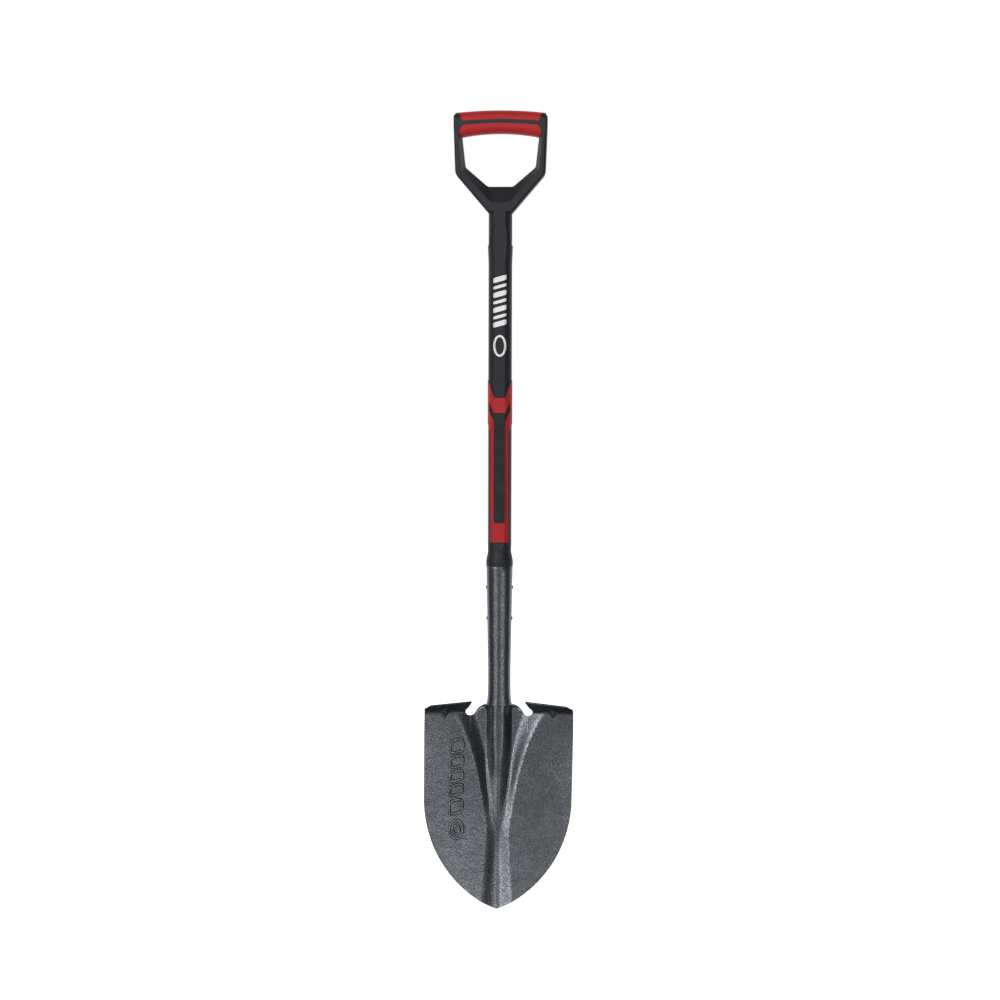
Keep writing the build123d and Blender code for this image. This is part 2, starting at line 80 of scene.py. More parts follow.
RIB_SIDE_X = 28.0           # columns inside this stay put where the sheet gives way to the notch
NOTCH_X = 43.2
NOTCH_HEIGHT = 281.0
NOTCH_RADIUS = 7.3
NOTCH_SIDE_X = 58.0         # columns outside this stay put beside the notch
STEP_INNER_X = 50.6         # inner end of a step, along its fold
FOLD_INNER_HEIGHT = 282.0
FOLD_OUTER_HEIGHT = 279.0
BEND_START = 4.0            # where a step's bend begins, either side of its fold line
BEND_SETBACK = 0.7          # what keeps the bend's corner behind the halfway line
STEP_RISE = math.radians(36)
STEP_DEPTH_INNER = 26.2
STEP_DEPTH_OUTER = 19.6
STEP_CHAMFER = 10.0
STEP_OVERHANG = 10.0        # how far the tread's inner corner reaches over the notch
KNEE_OUT = 10.0             # the tread's inner edge has a knee this far from the fold,
KNEE_SHARE = 0.55           # with this share of the overhang there,
KNEE_RUN = 15.0             # and the rest of it this much further out
GUSSET_LEFT = 72.2          # columns are a millimetre apart where the gusset is pressed
GUSSET_RIGHT = 88.2
GUSSET_HALF_WIDTH = 8.0
GUSSET_DROP = 12.5          # down the blade
GUSSET_REACH = 9.0          # out along the step
GUSSET_CORNER_HEIGHT = 281.0        # the bend's corner is the first point above this
SOCKET_MOUTH_HEIGHT = 498.1
SOCKET_MOUTH_RADIUS = 19.7
SOCKET_WAIST_HEIGHT = 342.1
SOCKET_WAIST_RADIUS = 16.9
SOCKET_FOOT_HEIGHT = 289.6  # the socket flares down to here
FLARE_SIDE = 2.5
FLARE_FRONT = 0.4
FLARE_LENGTH = 9.0
ROLL_START = 273.4          # the sheet beside the rib starts to curl back here
ROLL_END = 291.1            # and has become the open socket here
ROLL_POWER = 2.9            # how late the curl sets in between the two
OPEN_ANGLE = math.radians(126)      # from the front to the socket's edge where it is open behind
SEAM_START = 328.0          # the socket's two edges meet behind from here up
SEAM_HALF_GAP = 0.5
SHARP_ANGLE = math.radians(40)
RIM_BEVEL = 0.4
RIM_ANGLE = math.radians(60)


# ---- meshes ------------------------------------------------------------------------------------------

def place(points):
    """Millimetre points with heights above the tip, as metres in the row frame."""
    points = np.asarray(points, dtype=float)
    return (points - (0.0, 0.0, HANG_HEIGHT)) / 1000.0


def make_object(name, points, faces):
    """A new object from millimetre points."""
    mesh = bpy.data.meshes.new(name)
    mesh.from_pydata([tuple(p) for p in place(points)], [], faces)
    obj = bpy.data.objects.new(name, mesh)
    bpy.context.scene.collection.objects.link(obj)
    return obj


def grid_faces(rows, columns, first):
    """Quads between the rows and columns of points numbered from first."""
    return [(first + r * columns + c, first + r * columns + c + 1,
             first + (r + 1) * columns + c + 1, first + (r + 1) * columns + c)
            for r in range(rows - 1) for c in range(columns - 1)]


def from_grids(name, grids):
    """One mesh from (rows, columns, 3) arrays whose shared borders are joined."""
    points, faces = [], []
    for grid in grids:
        rows, columns = grid.shape[:2]
        faces += grid_faces(rows, columns, len(points))
        points += list(grid.reshape(-1, 3))
    obj = make_object(name, points, faces)
    work = bmesh.new()
    work.from_mesh(obj.data)
    bmesh.ops.remove_doubles(work, verts=work.verts, dist=2e-5)
    bmesh.ops.recalc_face_normals(work, faces=work.faces)
    work.to_mesh(obj.data)
    work.free()
    return obj


def bake(obj):
    """Applies the object's modifiers, shades it smooth and marks its sharp edges."""
    graph = bpy.context.evaluated_depsgraph_get()
    baked = bpy.data.meshes.new_from_object(obj.evaluated_get(graph))
    obj.modifiers.clear()
    obj.data = baked
    baked.shade_smooth()
    baked.set_sharp_from_angle(angle=SHARP_ANGLE)


# ---- the blade's surface -----------------------------------------------------------------------------

def smoothstep(t):
    """Eases from 0 to 1 as t goes from 0 to 1."""
    t = np.clip(t, 0.0, 1.0)
    return t * t * (3 - 2 * t)


def trough_half_width(h):
    """The trough beside the rib widens like a vee and then flares out."""
    t = np.maximum(0.0, (h - TROUGH_WIDENING_START) / TROUGH_WIDENING_RUN)
    foot, growth, flare = TROUGH_HALF_WIDTHS
    return foot + growth * t + flare * t**3


def keel_depth(across, h):
    """The soft vee that carries on below the rib down to the tip."""
    reach = KEEL_REACH + KEEL_SPREAD * np.maximum(0.0, 1 - h / KEEL_SPREAD_TOP)
    fade = smoothstep((h - KEEL_FADE_START) / KEEL_FADE_RUN)
    return KEEL_DEPTH * (1 - fade) * (1 - smoothstep(across / reach))


def rib_height(h):
    """Height of the rib's crest over the trough's floor."""
    t = np.clip((h - RIB_START) / RIB_RUN, 0.0, 1.0)
    return RIB_HEIGHT * t**RIB_POWER * (1.4 - 0.4 * t)


def wing_depth(x, h):
    """Y of the front without trough, rib and keel: it leans forward to the tip and is dished."""
    down = np.maximum(0.0, BLADE_TOP_HEIGHT - h)
    dish = DISH_TOP + (DISH_LOW - DISH_TOP) * smoothstep(down / DISH_RUN)
    return BLADE_TOP_DEPTH - LEAN * down - LEAN_GROWTH * down**2 - dish * (x / BLADE_HALF_WIDTH) ** 2


def front_depth(x, h):
    """Y of the blade's front: dished wings, a trough down the middle, and the rib in the trough."""
    across = np.abs(x)
    into_wall = smoothstep((across / trough_half_width(h) - WALL_START) / WALL_RUN)
    fullness = 1 + RIB_FULLNESS * smoothstep((h - RIB_FULLNESS_START) / RIB_FULLNESS_RUN)
    widening = smoothstep((h - RIB_WIDENING_START) / RIB_WIDENING_RUN)
    rib_half_width = RIB_POINT_HALF_WIDTH + RIB_WIDENING * widening
    up_rib = np.minimum(1.0, across / rib_half_width) ** fullness
    rib = rib_height(h) * (1 + np.cos(math.pi * up_rib)) / 2
    trough = TROUGH_DEPTH * smoothstep((h - TROUGH_START) / TROUGH_RUN)
    return wing_depth(x, h) + trough * (1 - into_wall) + keel_depth(across, h) - rib


def middle_surface(x, h):
    """Points half a sheet behind the front, with x and h given as arrays of one shape."""
    y = front_depth(x, h)
    nudge = 0.2
    across = (front_depth(x + nudge, h) - front_depth(x - nudge, h)) / (2 * nudge)
    up = (front_depth(x, h + nudge) - front_depth(x, h - nudge)) / (2 * nudge)
    size = np.sqrt(across**2 + up**2 + 1)
    half = SHEET / 2
    return np.stack([x - half * across / size, y + half / size, h - half * up / size], axis=-1)


def outline_half_width(h):
    """Half width of the blade seen from the front."""
    w = POINT_HALF_WIDTH
    radius = (w**2 + POINT_HEIGHT**2) / (2 * w)
    below = np.maximum(0.0, POINT_HEIGHT - h)
    taper = np.clip((h - POINT_HEIGHT) / (TAPER_HEIGHT - POINT_HEIGHT), 0.0, 1.0)
    return w - radius + np.sqrt(radius**2 - below**2) + (BLADE_HALF_WIDTH - w) * taper


# ---- blade -------------------------------------------------------------------------------------------

CENTRE_COLUMNS = np.concatenate([np.linspace(0, RIB_SIDE_X, 32), np.linspace(RIB_SIDE_X, NOTCH_X, 15)[1:]])
STEP_COLUMNS = np.concatenate([np.linspace(NOTCH_X, NOTCH_SIDE_X, 13),
                               np.linspace(NOTCH_SIDE_X, GUSSET_LEFT, 11)[1:],
                               np.linspace(GUSSET_LEFT, GUSSET_RIGHT, 17)[1:],
                               np.linspace(GUSSET_RIGHT, BLADE_HALF_WIDTH, 16)[1:]])
SHOULDER_HEIGHT = TAPER_HEIGHT      # above it the blade is one width
SLOT_HEIGHT = NOTCH_HEIGHT - NOTCH_RADIUS


def lower_blade():
    """Everything below the steps' zone, right half, rows squeezed to the outline."""
    near_tip = [0.0, 0.5, 1.2, 2.2]
    heights = np.concatenate([near_tip, np.linspace(3.5, SHOULDER_HEIGHT, 125)])
    columns = np.concatenate([CENTRE_COLUMNS, STEP_COLUMNS[1:]])
    x = outline_half_width(heights)[:, None] * columns[None, :] / BLADE_HALF_WIDTH
    h = np.repeat(heights[:, None], len(columns), axis=1)
    return middle_surface(x, h)


def notch_reach(h):
    """Half width of the relief notch at a height."""
    below = np.clip(NOTCH_HEIGHT - h, 0.0, NOTCH_RADIUS)
    return np.sqrt(NOTCH_RADIUS**2 - below**2)


def squeeze(columns, fixed, edge, new_edge):
    """Moves the columns between fixed and edge so that edge comes to new_edge."""
    share = np.clip((columns - fixed) / (edge - fixed), 0.0, None)
    return np.where(share > 0, fixed + share * (new_edge - fixed), columns)


def socket_radii(h):
    """The socket's half width and its radius in front, at its outside."""
    taper = SOCKET_WAIST_RADIUS + (h - SOCKET_WAIST_HEIGHT) * (
        (SOCKET_MOUTH_RADIUS - SOCKET_WAIST_RADIUS) / (SOCKET_MOUTH_HEIGHT - SOCKET_WAIST_HEIGHT))
    flare = math.exp(-max(0.0, h - SOCKET_FOOT_HEIGHT) / FLARE_LENGTH)
    if h < SOCKET_WAIST_HEIGHT:
        return SOCKET_WAIST_RADIUS + FLARE_SIDE * flare, SOCKET_WAIST_RADIUS + FLARE_FRONT * flare
    return taper, taper


def rolled_row(h):
    """One row of the part between the notches, which curls back and becomes the socket."""
    on_sheet = min(h, ROLL_END)
    edge = NOTCH_X - float(notch_reach(h)) if h > SLOT_HEIGHT else NOTCH_X
    x = squeeze(CENTRE_COLUMNS, RIB_SIDE_X, NOTCH_X, edge)
    flat = middle_surface(x, np.full_like(x, on_sheet))
    steps = np.linalg.norm(np.diff(flat[:, :2], axis=0), axis=1)
    along = np.concatenate([[0.0], np.cumsum(steps)])
    along /= along[-1]
    closing = float(smoothstep((h - ROLL_END) / (SEAM_START - ROLL_END)))
    width, depth = socket_radii(max(h, SOCKET_FOOT_HEIGHT))
    shut_angle = math.pi - SEAM_HALF_GAP / depth
    angle = along * (OPEN_ANGLE + (shut_angle - OPEN_ANGLE) * closing)
    height = h if h > ROLL_END else flat[:, 2]
    half = SHEET / 2
    round_row = np.stack([(width - half) * np.sin(angle), -(depth - half) * np.cos(angle),
                          np.broadcast_to(height, x.shape)], axis=-1)
    rolled = min(1.0, max(0.0, (h - ROLL_START) / (ROLL_END - ROLL_START))) ** ROLL_POWER
    return flat + (round_row - flat) * rolled


def rolled_strip():
    """Right half of the middle from the shoulder up past the notch, and the socket above it."""
    arc = NOTCH_HEIGHT - NOTCH_RADIUS * np.cos(np.radians(np.linspace(0, 90, 10)))
    foot = ROLL_END + np.array([-0.9, -0.4, 0.0, 0.7, 1.7])
    heights = np.concatenate([np.linspace(SHOULDER_HEIGHT, SLOT_HEIGHT, 10), arc[1:],
                              np.linspace(NOTCH_HEIGHT, SOCKET_FOOT_HEIGHT, 12)[1:], foot,
                              np.linspace(ROLL_END + 3, SEAM_START, 18),
                              np.linspace(SEAM_START, SOCKET_MOUTH_HEIGHT, 24)[1:]])
    return np.stack([rolled_row(h) for h in heights])


def unit(v):
    return v / np.linalg.norm(v)


def step_frame():
    """Origin, direction along the fold and direction out along the right-hand tread."""
    inner, outer = (np.array([x, wing_depth(x, h) + SHEET / 2, h])
                    for x, h in ((STEP_INNER_X, FOLD_INNER_HEIGHT), (BLADE_HALF_WIDTH, FOLD_OUTER_HEIGHT)))
    along = unit(outer - inner)
    forward = np.array([0.0, -math.cos(STEP_RISE), math.sin(STEP_RISE)])
    up = unit(np.cross(forward, along))
    return inner, along, np.cross(along, up), np.linalg.norm(outer - inner)


def tread_rows(share):
    """Rows of the tread from just past the bend to its free edge; share runs 0 to 1 along the fold."""
    origin, along, ahead, length = step_frame()
    straight = STEP_DEPTH_OUTER - STEP_CHAMFER - BEND_START
    rows = []
    for w in np.linspace(0, 1, 12):
        inner_out = BEND_START + w * (STEP_DEPTH_INNER - BEND_START)
        to_knee = KNEE_SHARE * inner_out / KNEE_OUT
        past_knee = KNEE_SHARE + (1 - KNEE_SHARE) * (inner_out - KNEE_OUT) / KNEE_RUN
        inner_at = -STEP_OVERHANG * min(to_knee, past_knee)
        travel = w * (straight + STEP_CHAMFER)
        outer_out = BEND_START + travel
        outer_at = length - max(0.0, travel - straight)
        at = inner_at + share * (outer_at - inner_at)
        out = inner_out + share * (outer_out - inner_out)
        rows.append(origin + at[:, None] * along + out[:, None] * ahead)
    return np.stack(rows)


def press_gusset(section, offset):
    """Pulls one section of the step's corner on to the straight line between the gusset's two feet."""
    near = 1 - abs(offset) / GUSSET_HALF_WIDTH
    if near <= 0:
        return section
    steps = np.linalg.norm(np.diff(section, axis=0), axis=1)
    along = np.concatenate([[0.0], np.cumsum(steps)])
    corner = along[np.argmax(section[:, 2] > GUSSET_CORNER_HEIGHT)]
    low, high = corner - GUSSET_DROP * near, corner + GUSSET_REACH * near
    foot = np.array([np.interp(low, along, section[:, i]) for i in range(3)])
    head = np.array([np.interp(high, along, section[:, i]) for i in range(3)])
    share = (along - low) / (high - low)
    between = foot + share[:, None] * (head - foot)
    inside = (share > 0) & (share < 1)
    return np.where(inside[:, None], between, section)


def step_strip():
    """Right-hand side of the blade from the shoulder up, round the bend and out along the tread."""
    rows = []
    for h in np.linspace(SHOULDER_HEIGHT, SLOT_HEIGHT, 12):
        rows.append(middle_surface(STEP_COLUMNS, np.full_like(STEP_COLUMNS, h)))
    fold = FOLD_INNER_HEIGHT + (FOLD_OUTER_HEIGHT - FOLD_INNER_HEIGHT) * np.clip(
        (STEP_COLUMNS - STEP_INNER_X) / (BLADE_HALF_WIDTH - STEP_INNER_X), 0.0, 1.0)
    start = fold - BEND_START
    for part in (np.arange(1, 8) / 7) ** 1.6:
        h = SLOT_HEIGHT + part * (start - SLOT_HEIGHT)
        edge = NOTCH_X + float(notch_reach(h[0]))
        rows.append(middle_surface(squeeze(STEP_COLUMNS, NOTCH_SIDE_X, NOTCH_X, edge), h))
    origin, along, ahead, length = step_frame()
    bend_low = rows[-1]
    share = (bend_low[:, 0] - bend_low[0, 0]) / (bend_low[-1, 0] - bend_low[0, 0])
    tread = tread_rows(share)
    corner = origin + (share * length)[:, None] * along
    corner[:, 1] = 0.5 * (corner[:, 1] + bend_low[:, 1] + BEND_SETBACK)
    for t in np.linspace(0, 1, 8)[1:-1]:
        rows.append((1 - t) ** 2 * bend_low + 2 * t * (1 - t) * corner + t**2 * tread[0])
    strip = np.concatenate([np.stack(rows), tread])
    middle = (STEP_INNER_X + BLADE_HALF_WIDTH) / 2
    for c in range(strip.shape[1]):
        strip[:, c] = press_gusset(strip[:, c], STEP_COLUMNS[c] - middle)
    return strip


def make_blade():
    """The pressed sheet: both halves joined, given its thickness and a rounded rim."""
    grids = []
    for grid in (lower_blade(), rolled_strip(), step_strip()):
        grids += [grid, grid[:, ::-1] * (-1, 1, 1)]
    blade = from_grids("blade_sheet", grids)
    skin = blade.modifiers.new("thickness", "SOLIDIFY")
    skin.thickness = SHEET / 1000
    skin.offset = 0
    skin.use_even_offset = True
    skin.use_quality_normals = True
    bake(blade)
    edge = blade.modifiers.new("edge", "BEVEL")
    edge.width = RIM_BEVEL / 1000
    edge.segments = 2
    edge.limit_method = "ANGLE"
    edge.angle_limit = RIM_ANGLE
    bake(blade)
    return blade


# ---- print on the handle and embossing on the blade --------------------------------------------------

JACKET_RADIUS = 17.35
JACKET_FLAT = 15.6
PRINT_HALF_WIDTH = 9.6
PRINT_BOTTOM = 808.0
PRINT_SLANT = 0.28
PRINT_CORNER = 1.5          # the bars' corners are cut off this far from their ends
PRINT_CORNER_SLOPE = 0.6
PRINT_LIFT = 0.04           # the ink's thickness
PRINT_BARS = ((46.0, 7.5), (58.0, 4.5), (67.5, 7.5), (80.0, 4.5), (89.5, 7.5), (102.0, 4.5), (111.5, 7.5))
RING_HEIGHT = 825.0
RING_HALF_HEIGHT = 16.0
RING_LINE = 3.0
EMBOSS_X = -62.0
EMBOSS_HALF_WIDTH = 9.5
EMBOSS_SLANT = 0.22
EMBOSS_FRAMES = ((143.0, 9.5), (167.0, 7.0), (187.0, 7.0), (207.5, 7.5), (230.0, 9.0))  # middle, half height
EMBOSS_RING = (-61.0, 111.0)
EMBOSS_RING_SIZES = ((10.0, 13.0), (4.5, 6.0))      # half width, half height
EMBOSS_LINE = 4.6           # width of the raised line
EMBOSS_LIFT = 1.9
EMBOSS_SINK = 0.05          # its two edges run this far into the sheet


def jacket_front(x):
    """Y of the ink on the jacket's flat front and its rounded sides."""
    return -np.minimum(JACKET_FLAT, np.sqrt(JACKET_RADIUS**2 - x**2)) - PRINT_LIFT


def print_bar(bottom, tall):
    """One slanted printed bar that lies on the jacket's flat and its rounded sides."""
    x = np.linspace(-PRINT_HALF_WIDTH, PRINT_HALF_WIDTH, 25)
    inset = np.clip(np.abs(x) - PRINT_HALF_WIDTH + PRINT_CORNER, 0.0, None) * PRINT_CORNER_SLOPE
    low = PRINT_BOTTOM + bottom + PRINT_SLANT * x
    rows = [low + inset, low + 0.5 * tall, low + tall - inset]
    return np.stack([np.stack([x, jacket_front(x), h], axis=-1) for h in rows])


def print_ring():
    """A printed oval ring on the jacket's front."""
    turn = np.linspace(0, 2 * math.pi, 65)
    rows = []
    for inset in np.linspace(0, RING_LINE, 5):
        x = (PRINT_HALF_WIDTH - inset) * np.sin(turn)
        h = RING_HEIGHT + (RING_HALF_HEIGHT - inset) * np.cos(turn)
        rows.append(np.stack([x, jacket_front(x), h], axis=-1))
    return np.stack(rows)


def ribbon(path):
    """Raised half-round line on the blade's front along a closed path of (x, height) points."""
    ahead = np.roll(path, -1, axis=0) - np.roll(path, 1, axis=0)
    normal = np.stack([-ahead[:, 1], ahead[:, 0]], axis=-1)
    normal /= np.linalg.norm(normal, axis=1)[:, None]
    rows = []
    for angle in np.radians(np.linspace(0, 180, 7)):
        x, h = (path + normal * (0.5 * EMBOSS_LINE * math.cos(angle))).T
        lift = EMBOSS_LIFT * math.sin(angle) - EMBOSS_SINK
        rows.append(np.stack([x, front_depth(x, h) - lift, h], axis=-1))
    grid = np.stack(rows)
    return np.concatenate([grid, grid[:, :1]], axis=1)


def rounded_loop(x, h, half_across, half_up, power=3.5, slant=0.0):
    """Closed path round a soft-cornered frame, leaning by slant."""
    turn = np.linspace(0, 2 * math.pi, 49)[:-1]
    c, s = np.cos(turn), np.sin(turn)
    across = half_across * np.sign(c) * np.abs(c) ** (2 / power)
    up = half_up * np.sign(s) * np.abs(s) ** (2 / power)
    return np.stack([x + across, h + up + slant * across], axis=-1)


def make_print():
    """White bars with an oval ring below them, on the jacket's front."""
    mark = from_grids("handle_print", [print_bar(*bar) for bar in PRINT_BARS] + [print_ring()])
    mark.data.shade_smooth()
    return mark


def make_embossing():
    """Generic raised frames up the left side of the blade, with a ring below them."""
    loops = [rounded_loop(EMBOSS_X, h, EMBOSS_HALF_WIDTH, half_up, slant=EMBOSS_SLANT)
             for h, half_up in EMBOSS_FRAMES]
    for half_across, half_up in EMBOSS_RING_SIZES:
        loops.append(rounded_loop(*EMBOSS_RING, half_across, half_up, power=2.0))
    mark = from_grids("blade_embossing", [ribbon(loop) for loop in loops])
    mark.data.shade_smooth()
    return mark


# ---- materials ---------------------------------------------------------------------------------------

class Nodes:
    """Short way to write a shader's node tree."""

    def __init__(self, name):
        self.material = bpy.data.materials.new(name)
        self.material.use_nodes = True
        self.tree = self.material.node_tree
        self.shader = self.tree.nodes["Principled BSDF"]
        self.coordinates = self.tree.nodes.new("ShaderNodeTexCoord").outputs["Object"]

    def add(self, kind, inputs, **settings):
        node = self.tree.nodes.new("ShaderNode" + kind)
        for key, value in settings.items():
            setattr(node, key, value)
        for key, value in inputs.items():
            if isinstance(value, bpy.types.NodeSocket):
                self.tree.links.new(value, node.inputs[key])
            else:
                node.inputs[key].default_value = value
        return node

    def noise(self, scale, detail):
        inputs = {"Vector": self.coordinates, "Scale": scale, "Detail": detail}
        return self.add("TexNoise", inputs).outputs["Fac"]

    def ramp(self, value, stops):
        node = self.add("ValToRGB", {"Fac": value})
        elements = node.color_ramp.elements
        elements[0].position, elements[0].color = stops[0][0], rgba(stops[0][1])
        elements[1].position, elements[1].color = stops[-1][0], rgba(stops[-1][1])
        for position, colour in stops[1:-1]:
            elements.new(position).color = rgba(colour)
        return node.outputs["Color"]

    def scaled(self, value, low, high):
        """The middle half of a noise's range, spread from low to high."""
        return self.add("MapRange", {"Value": value, "From Min": 0.25, "From Max": 0.75,
                                     "To Min": low, "To Max": high}).outputs["Result"]

    def bump(self, height, distance, strength, below=None):
        inputs = {"Height": height, "Distance": distance, "Strength": strength}
        if below is not None:
            inputs["Normal"] = below
        return self.add("Bump", inputs).outputs["Normal"]

    def set(self, key, value):
        if isinstance(value, bpy.types.NodeSocket):
            self.tree.links.new(value, self.shader.inputs[key])
        else:
            self.shader.inputs[key].default_value = value


def rgba(value):
    """A grey level or an RGB triple as an opaque colour."""
    return (value, value, value, 1.0) if isinstance(value, float) else (*value, 1.0)


def hammered_enamel():
    """Dark grey hammertone: glossy cells a millimetre or two across with paler metallic veins."""
    m = Nodes("hammered_enamel")
    warp = m.add("TexNoise", {"Vector": m.coordinates, "Scale": 500.0, "Detail": 1.0})
    bend = {"Fac": 0.002, "Color1": m.coordinates, "Color2": warp.outputs["Color"]}
    bent = m.add("MixRGB", bend).outputs["Color"]
    tiling = m.add("TexVoronoi", {"Vector": bent, "Scale": 460.0}, feature="DISTANCE_TO_EDGE")
    cells = tiling.outputs["Distance"]
    veins = m.ramp(cells, [(0.02, (0.20, 0.213, 0.235)), (0.16, (0.105, 0.112, 0.126)),
                           (0.38, (0.04, 0.044, 0.053))])
    patches = m.ramp(m.noise(40.0, 3.0), [(0.3, 0.88), (0.7, 1.12)])
    colour = m.add("MixRGB", {"Fac": 1.0, "Color1": veins, "Color2": patches}, blend_type="MULTIPLY")
    m.set("Base Color", colour.outputs["Color"])
    m.set("Metallic", 0.85)
    m.set("Roughness", m.scaled(m.noise(300.0, 3.0), 0.20, 0.30))
    m.set("Coat Weight", 0.3)
    m.set("Coat Roughness", 0.16)
    low = m.bump(m.noise(120.0, 2.0), 0.0006, 0.35)
    m.set("Normal", m.bump(cells, 0.0004, 0.5, low))
    return m.material


def moulded_resin():
    """Black moulded resin with a fine spark-eroded grain."""
    m = Nodes("moulded_resin")
    tones = [(0.3, (0.015, 0.017, 0.023)), (0.7, (0.019, 0.022, 0.030))]
    m.set("Base Color", m.ramp(m.noise(90.0, 3.0), tones))
    m.set("Roughness", m.scaled(m.noise(1500.0, 2.0), 0.42, 0.58))
    m.set("Normal", m.bump(m.noise(2600.0, 2.0), 0.00005, 0.5))
    return m.material


def soft_red():
    """Soft red overmould, slightly mottled, with a dull sheen."""
    m = Nodes("soft_red")
    tones = [(0.3, (0.62, 0.014, 0.017)), (0.7, (0.67, 0.018, 0.021))]
    m.set("Base Color", m.ramp(m.noise(60.0, 4.0), tones))
    m.set("Roughness", m.scaled(m.noise(900.0, 3.0), 0.48, 0.66))
    m.set("Normal", m.bump(m.noise(2200.0, 2.0), 0.00006, 0.5))
    m.set("Sheen Weight", 0.15)
    return m.material


def soft_black():
    """Matte black rubber inlay."""
    m = Nodes("soft_black")
    tones = [(0.3, (0.019, 0.020, 0.024)), (0.7, (0.028, 0.029, 0.034))]
    m.set("Base Color", m.ramp(m.noise(70.0, 4.0), tones))
    m.set("Roughness", m.scaled(m.noise(900.0, 3.0), 0.6, 0.8))
    m.set("Normal", m.bump(m.noise(1800.0, 2.0), 0.00008, 0.6))
    return m.material


def satin_steel():
    """Rivets: plain steel, lightly brushed by handling."""
    m = Nodes("satin_steel")
    m.set("Base Color", m.ramp(m.noise(200.0, 4.0), [(0.3, (0.36, 0.36, 0.37)), (0.7, (0.55, 0.55, 0.56))]))
    m.set("Metallic", 1.0)
    m.set("Roughness", m.scaled(m.noise(900.0, 3.0), 0.25, 0.45))
    m.set("Normal", m.bump(m.noise(1200.0, 3.0), 0.0001, 0.3))
    return m.material


def pultruded_glass():
    """Fibreglass tube: straight strands along the handle in amber resin."""
    m = Nodes("pultruded_glass")
    stretched = m.add("Mapping", {"Vector": m.coordinates, "Scale": (900.0, 900.0, 12.0)}).outputs["Vector"]
    strands = m.add("TexNoise", {"Vector": stretched, "Scale": 1.0, "Detail": 4.0}).outputs["Fac"]
    m.set("Base Color", m.ramp(strands, [(0.3, (0.55, 0.44, 0.20)), (0.7, (0.78, 0.70, 0.45))]))
    m.set("Roughness", m.scaled(strands, 0.3, 0.5))
    m.set("Normal", m.bump(strands, 0.0001, 0.4))
    return m.material


def ash_wood():
    """Hardwood plug: long grain up the handle."""
    m = Nodes("ash_wood")
    stretched = m.add("Mapping", {"Vector": m.coordinates, "Scale": (260.0, 260.0, 9.0)}).outputs["Vector"]
    rings = {"Vector": stretched, "Scale": 1.0, "Detail": 6.0, "Distortion": 0.6}
    grain = m.add("TexNoise", rings).outputs["Fac"]
    m.set("Base Color", m.ramp(grain, [(0.3, (0.36, 0.22, 0.10)), (0.7, (0.62, 0.45, 0.26))]))
    m.set("Roughness", m.scaled(grain, 0.55, 0.75))
    m.set("Normal", m.bump(grain, 0.0002, 0.4))
    return m.material


def white_print():
    """White ink, helped by a little emission so that it stays white in the soft light."""
    m = Nodes("white_print")
    m.set("Base Color", m.ramp(m.noise(400.0, 3.0), [(0.3, 0.90), (0.7, 0.97)]))
    m.set("Emission Color", rgba(1.0))
    m.set("Emission Strength", 0.22)
    m.set("Roughness", m.scaled(m.noise(900.0, 2.0), 0.4, 0.55))
    return m.material


def pale_floor():
    """Floor that reads as white as the background."""
    m = Nodes("pale_floor")
    m.set("Base Color", m.ramp(m.noise(3.0, 2.0), [(0.3, 0.93), (0.7, 0.96)]))
    m.set("Roughness", 0.6)
    m.set("Emission Color", rgba(1.0))
    m.set("Emission Strength", 0.9)
    return m.material


# ---- build -------------------------------------------------------------------------------------------

enamel = hammered_enamel()
FINISHES = (
    (moulded_resin(), ("handle_jacket", "socket_collar", "dgrip_body")),
    (soft_red(), ("grip_sleeve", "dgrip_pad_upper", "dgrip_pad_lower")),
    (soft_black(), ("grip_inlay_front", "grip_inlay_back")),
    (satin_steel(), ("rivet_upper", "rivet_lower")),
    (pultruded_glass(), ("fibreglass_core",)),
    (ash_wood(), ("core_plug_lower", "core_plug_upper")),
)
for finish, names in FINISHES:
    for name in names:
        NODES[name].data.materials.clear()
        NODES[name].data.materials.append(finish)

blade = make_blade()
blade.data.materials.append(enamel)
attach(blade, "root")
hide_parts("blade")

embossing = make_embossing()
embossing.data.materials.append(enamel)
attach(embossing, "root")

handle_print = make_print()
handle_print.data.materials.append(white_print())
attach(handle_print, "root")


# ---- floor, light and camera -------------------------------------------------------------------------

FLOOR_RADIUS = 6000.0
FLOOR_SIDES = 64
FLOOR_HEIGHT = -0.5         # just under the blade's tip
LIGHT_DISTANCE = 2.8
# name, azimuth in degrees, height, width and length, watts, height on the tool's axis that it points at
LIGHTS = (
    ("key", -33, -1.15, (1.5, 1.0), 6.3, -0.75),
    ("fill", 34, -1.3, (1.5, 0.8), 5.4, -0.9),
    ("high_left", -33, 0.5, (0.6, 0.9), 14, -1.0),
    ("front", 13, -0.55, (1.1, 1.0), 1.8, -0.55),
    ("left_side", -52, 0.0, (0.9, 0.8), 4, -0.2),
    ("top_front", 8, 1.0, (1.1, 0.9), 16, -1.0),
)
# brightness of the surroundings by how far a direction points behind the tool, 0 in front to 1 behind
SURROUND = ((0.0, 0.27), (0.20, 0.20), (0.58, 0.06), (0.75, 1.0), (1.0, 1.0))
SHADE_DIRECTION = (0.66, -0.55, 0.51)       # a dim patch high on the right, like a studio's black card
SHADE_EDGE = (0.80, 0.93)   # cosines from its middle where it starts and where it is full
SHADE_LEVEL = 0.3
CAMERA_PLACE = (0.15, -3.487, -0.2985)
CAMERA_TARGET = (0.0004, 0.0, -0.5395)
CAMERA_ROLL = math.radians(0.16)
CAMERA_LENS = 84.76


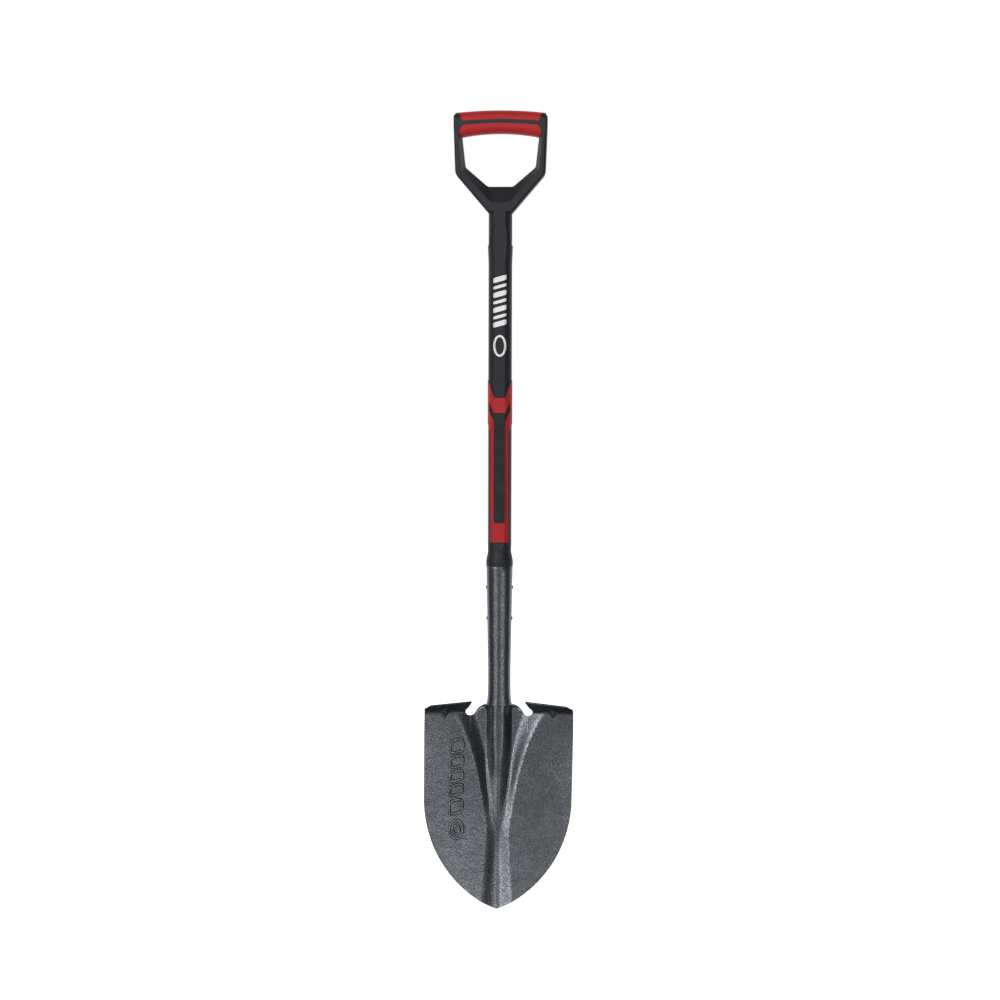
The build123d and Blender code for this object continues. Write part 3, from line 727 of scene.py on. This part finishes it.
def make_floor():
    turn = np.linspace(0, 2 * math.pi, FLOOR_SIDES + 1)[:-1]
    ring = [(FLOOR_RADIUS * math.cos(a), FLOOR_RADIUS * math.sin(a), FLOOR_HEIGHT) for a in turn]
    wedges = [(0, i + 1, (i + 1) % FLOOR_SIDES + 1) for i in range(FLOOR_SIDES)]
    floor = make_object("floor", [(0.0, 0.0, FLOOR_HEIGHT)] + ring, wedges)
    floor.data.materials.append(pale_floor())
    floor.visible_glossy = False
    floor.visible_diffuse = False


def softbox(name, azimuth, height, size, power, aim_height):
    """Soft light seen from the tool at this azimuth: 0 in front, positive to the right."""
    lamp = bpy.data.lights.new(name, "AREA")
    lamp.shape = "RECTANGLE"
    lamp.size, lamp.size_y = size
    lamp.energy = power
    obj = bpy.data.objects.new(name, lamp)
    a = math.radians(azimuth)
    obj.location = (LIGHT_DISTANCE * math.sin(a), -LIGHT_DISTANCE * math.cos(a), height)
    obj.rotation_euler = (Vector((0.0, 0.0, aim_height)) - obj.location).to_track_quat("-Z", "Y").to_euler()
    bpy.context.scene.collection.objects.link(obj)


def make_world():
    """White all round for the camera; for light and reflections, white behind and dim elsewhere."""
    world = bpy.data.worlds.new("studio")
    bpy.context.scene.world = world
    world.use_nodes = True
    tree = world.node_tree
    tree.nodes.clear()
    add = tree.nodes.new
    link = tree.links.new
    direction = add("ShaderNodeTexCoord").outputs["Generated"]
    parts = add("ShaderNodeSeparateXYZ")
    link(direction, parts.inputs[0])
    facing = add("ShaderNodeMapRange")
    link(parts.outputs["Y"], facing.inputs["Value"])
    facing.inputs["From Min"].default_value = -1.0
    ramp = add("ShaderNodeValToRGB")
    stops = ramp.color_ramp.elements
    stops[0].color = rgba(SURROUND[0][1])
    stops[1].color = rgba(SURROUND[-1][1])
    for position, brightness in SURROUND[1:-1]:
        stops.new(position).color = rgba(brightness)
    link(facing.outputs["Result"], ramp.inputs["Fac"])
    toward = add("ShaderNodeVectorMath")
    toward.operation = "DOT_PRODUCT"
    link(direction, toward.inputs[0])
    toward.inputs[1].default_value = SHADE_DIRECTION
    shade = add("ShaderNodeMapRange")
    link(toward.outputs["Value"], shade.inputs["Value"])
    shade.inputs["From Min"].default_value, shade.inputs["From Max"].default_value = SHADE_EDGE
    shade.inputs["To Min"].default_value, shade.inputs["To Max"].default_value = 1.0, SHADE_LEVEL
    around = add("ShaderNodeBackground")
    link(ramp.outputs["Color"], around.inputs["Color"])
    link(shade.outputs["Result"], around.inputs["Strength"])
    seen = add("ShaderNodeBackground")
    seen.inputs["Color"].default_value = rgba(1.0)
    path = add("ShaderNodeLightPath")
    mix = add("ShaderNodeMixShader")
    link(path.outputs["Is Camera Ray"], mix.inputs["Fac"])
    link(around.outputs[0], mix.inputs[1])
    link(seen.outputs[0], mix.inputs[2])
    link(mix.outputs[0], add("ShaderNodeOutputWorld").inputs["Surface"])


def make_camera():
    """Level with the upper handle, a little to the right, looking slightly down."""
    camera = bpy.data.cameras.new("camera")
    camera.lens = CAMERA_LENS
    camera.sensor_width = 36.0
    obj = bpy.data.objects.new("camera", camera)
    obj.location = CAMERA_PLACE
    turn = (Vector(CAMERA_TARGET) - obj.location).to_track_quat("-Z", "Y")
    obj.rotation_mode = "QUATERNION"
    obj.rotation_quaternion = turn @ Quaternion((0, 0, 1), CAMERA_ROLL)
    bpy.context.scene.collection.objects.link(obj)
    bpy.context.scene.camera = obj


make_floor()
for light in LIGHTS:
    softbox(*light)
make_world()
make_camera()
bpy.context.scene.view_settings.view_transform = "Standard"
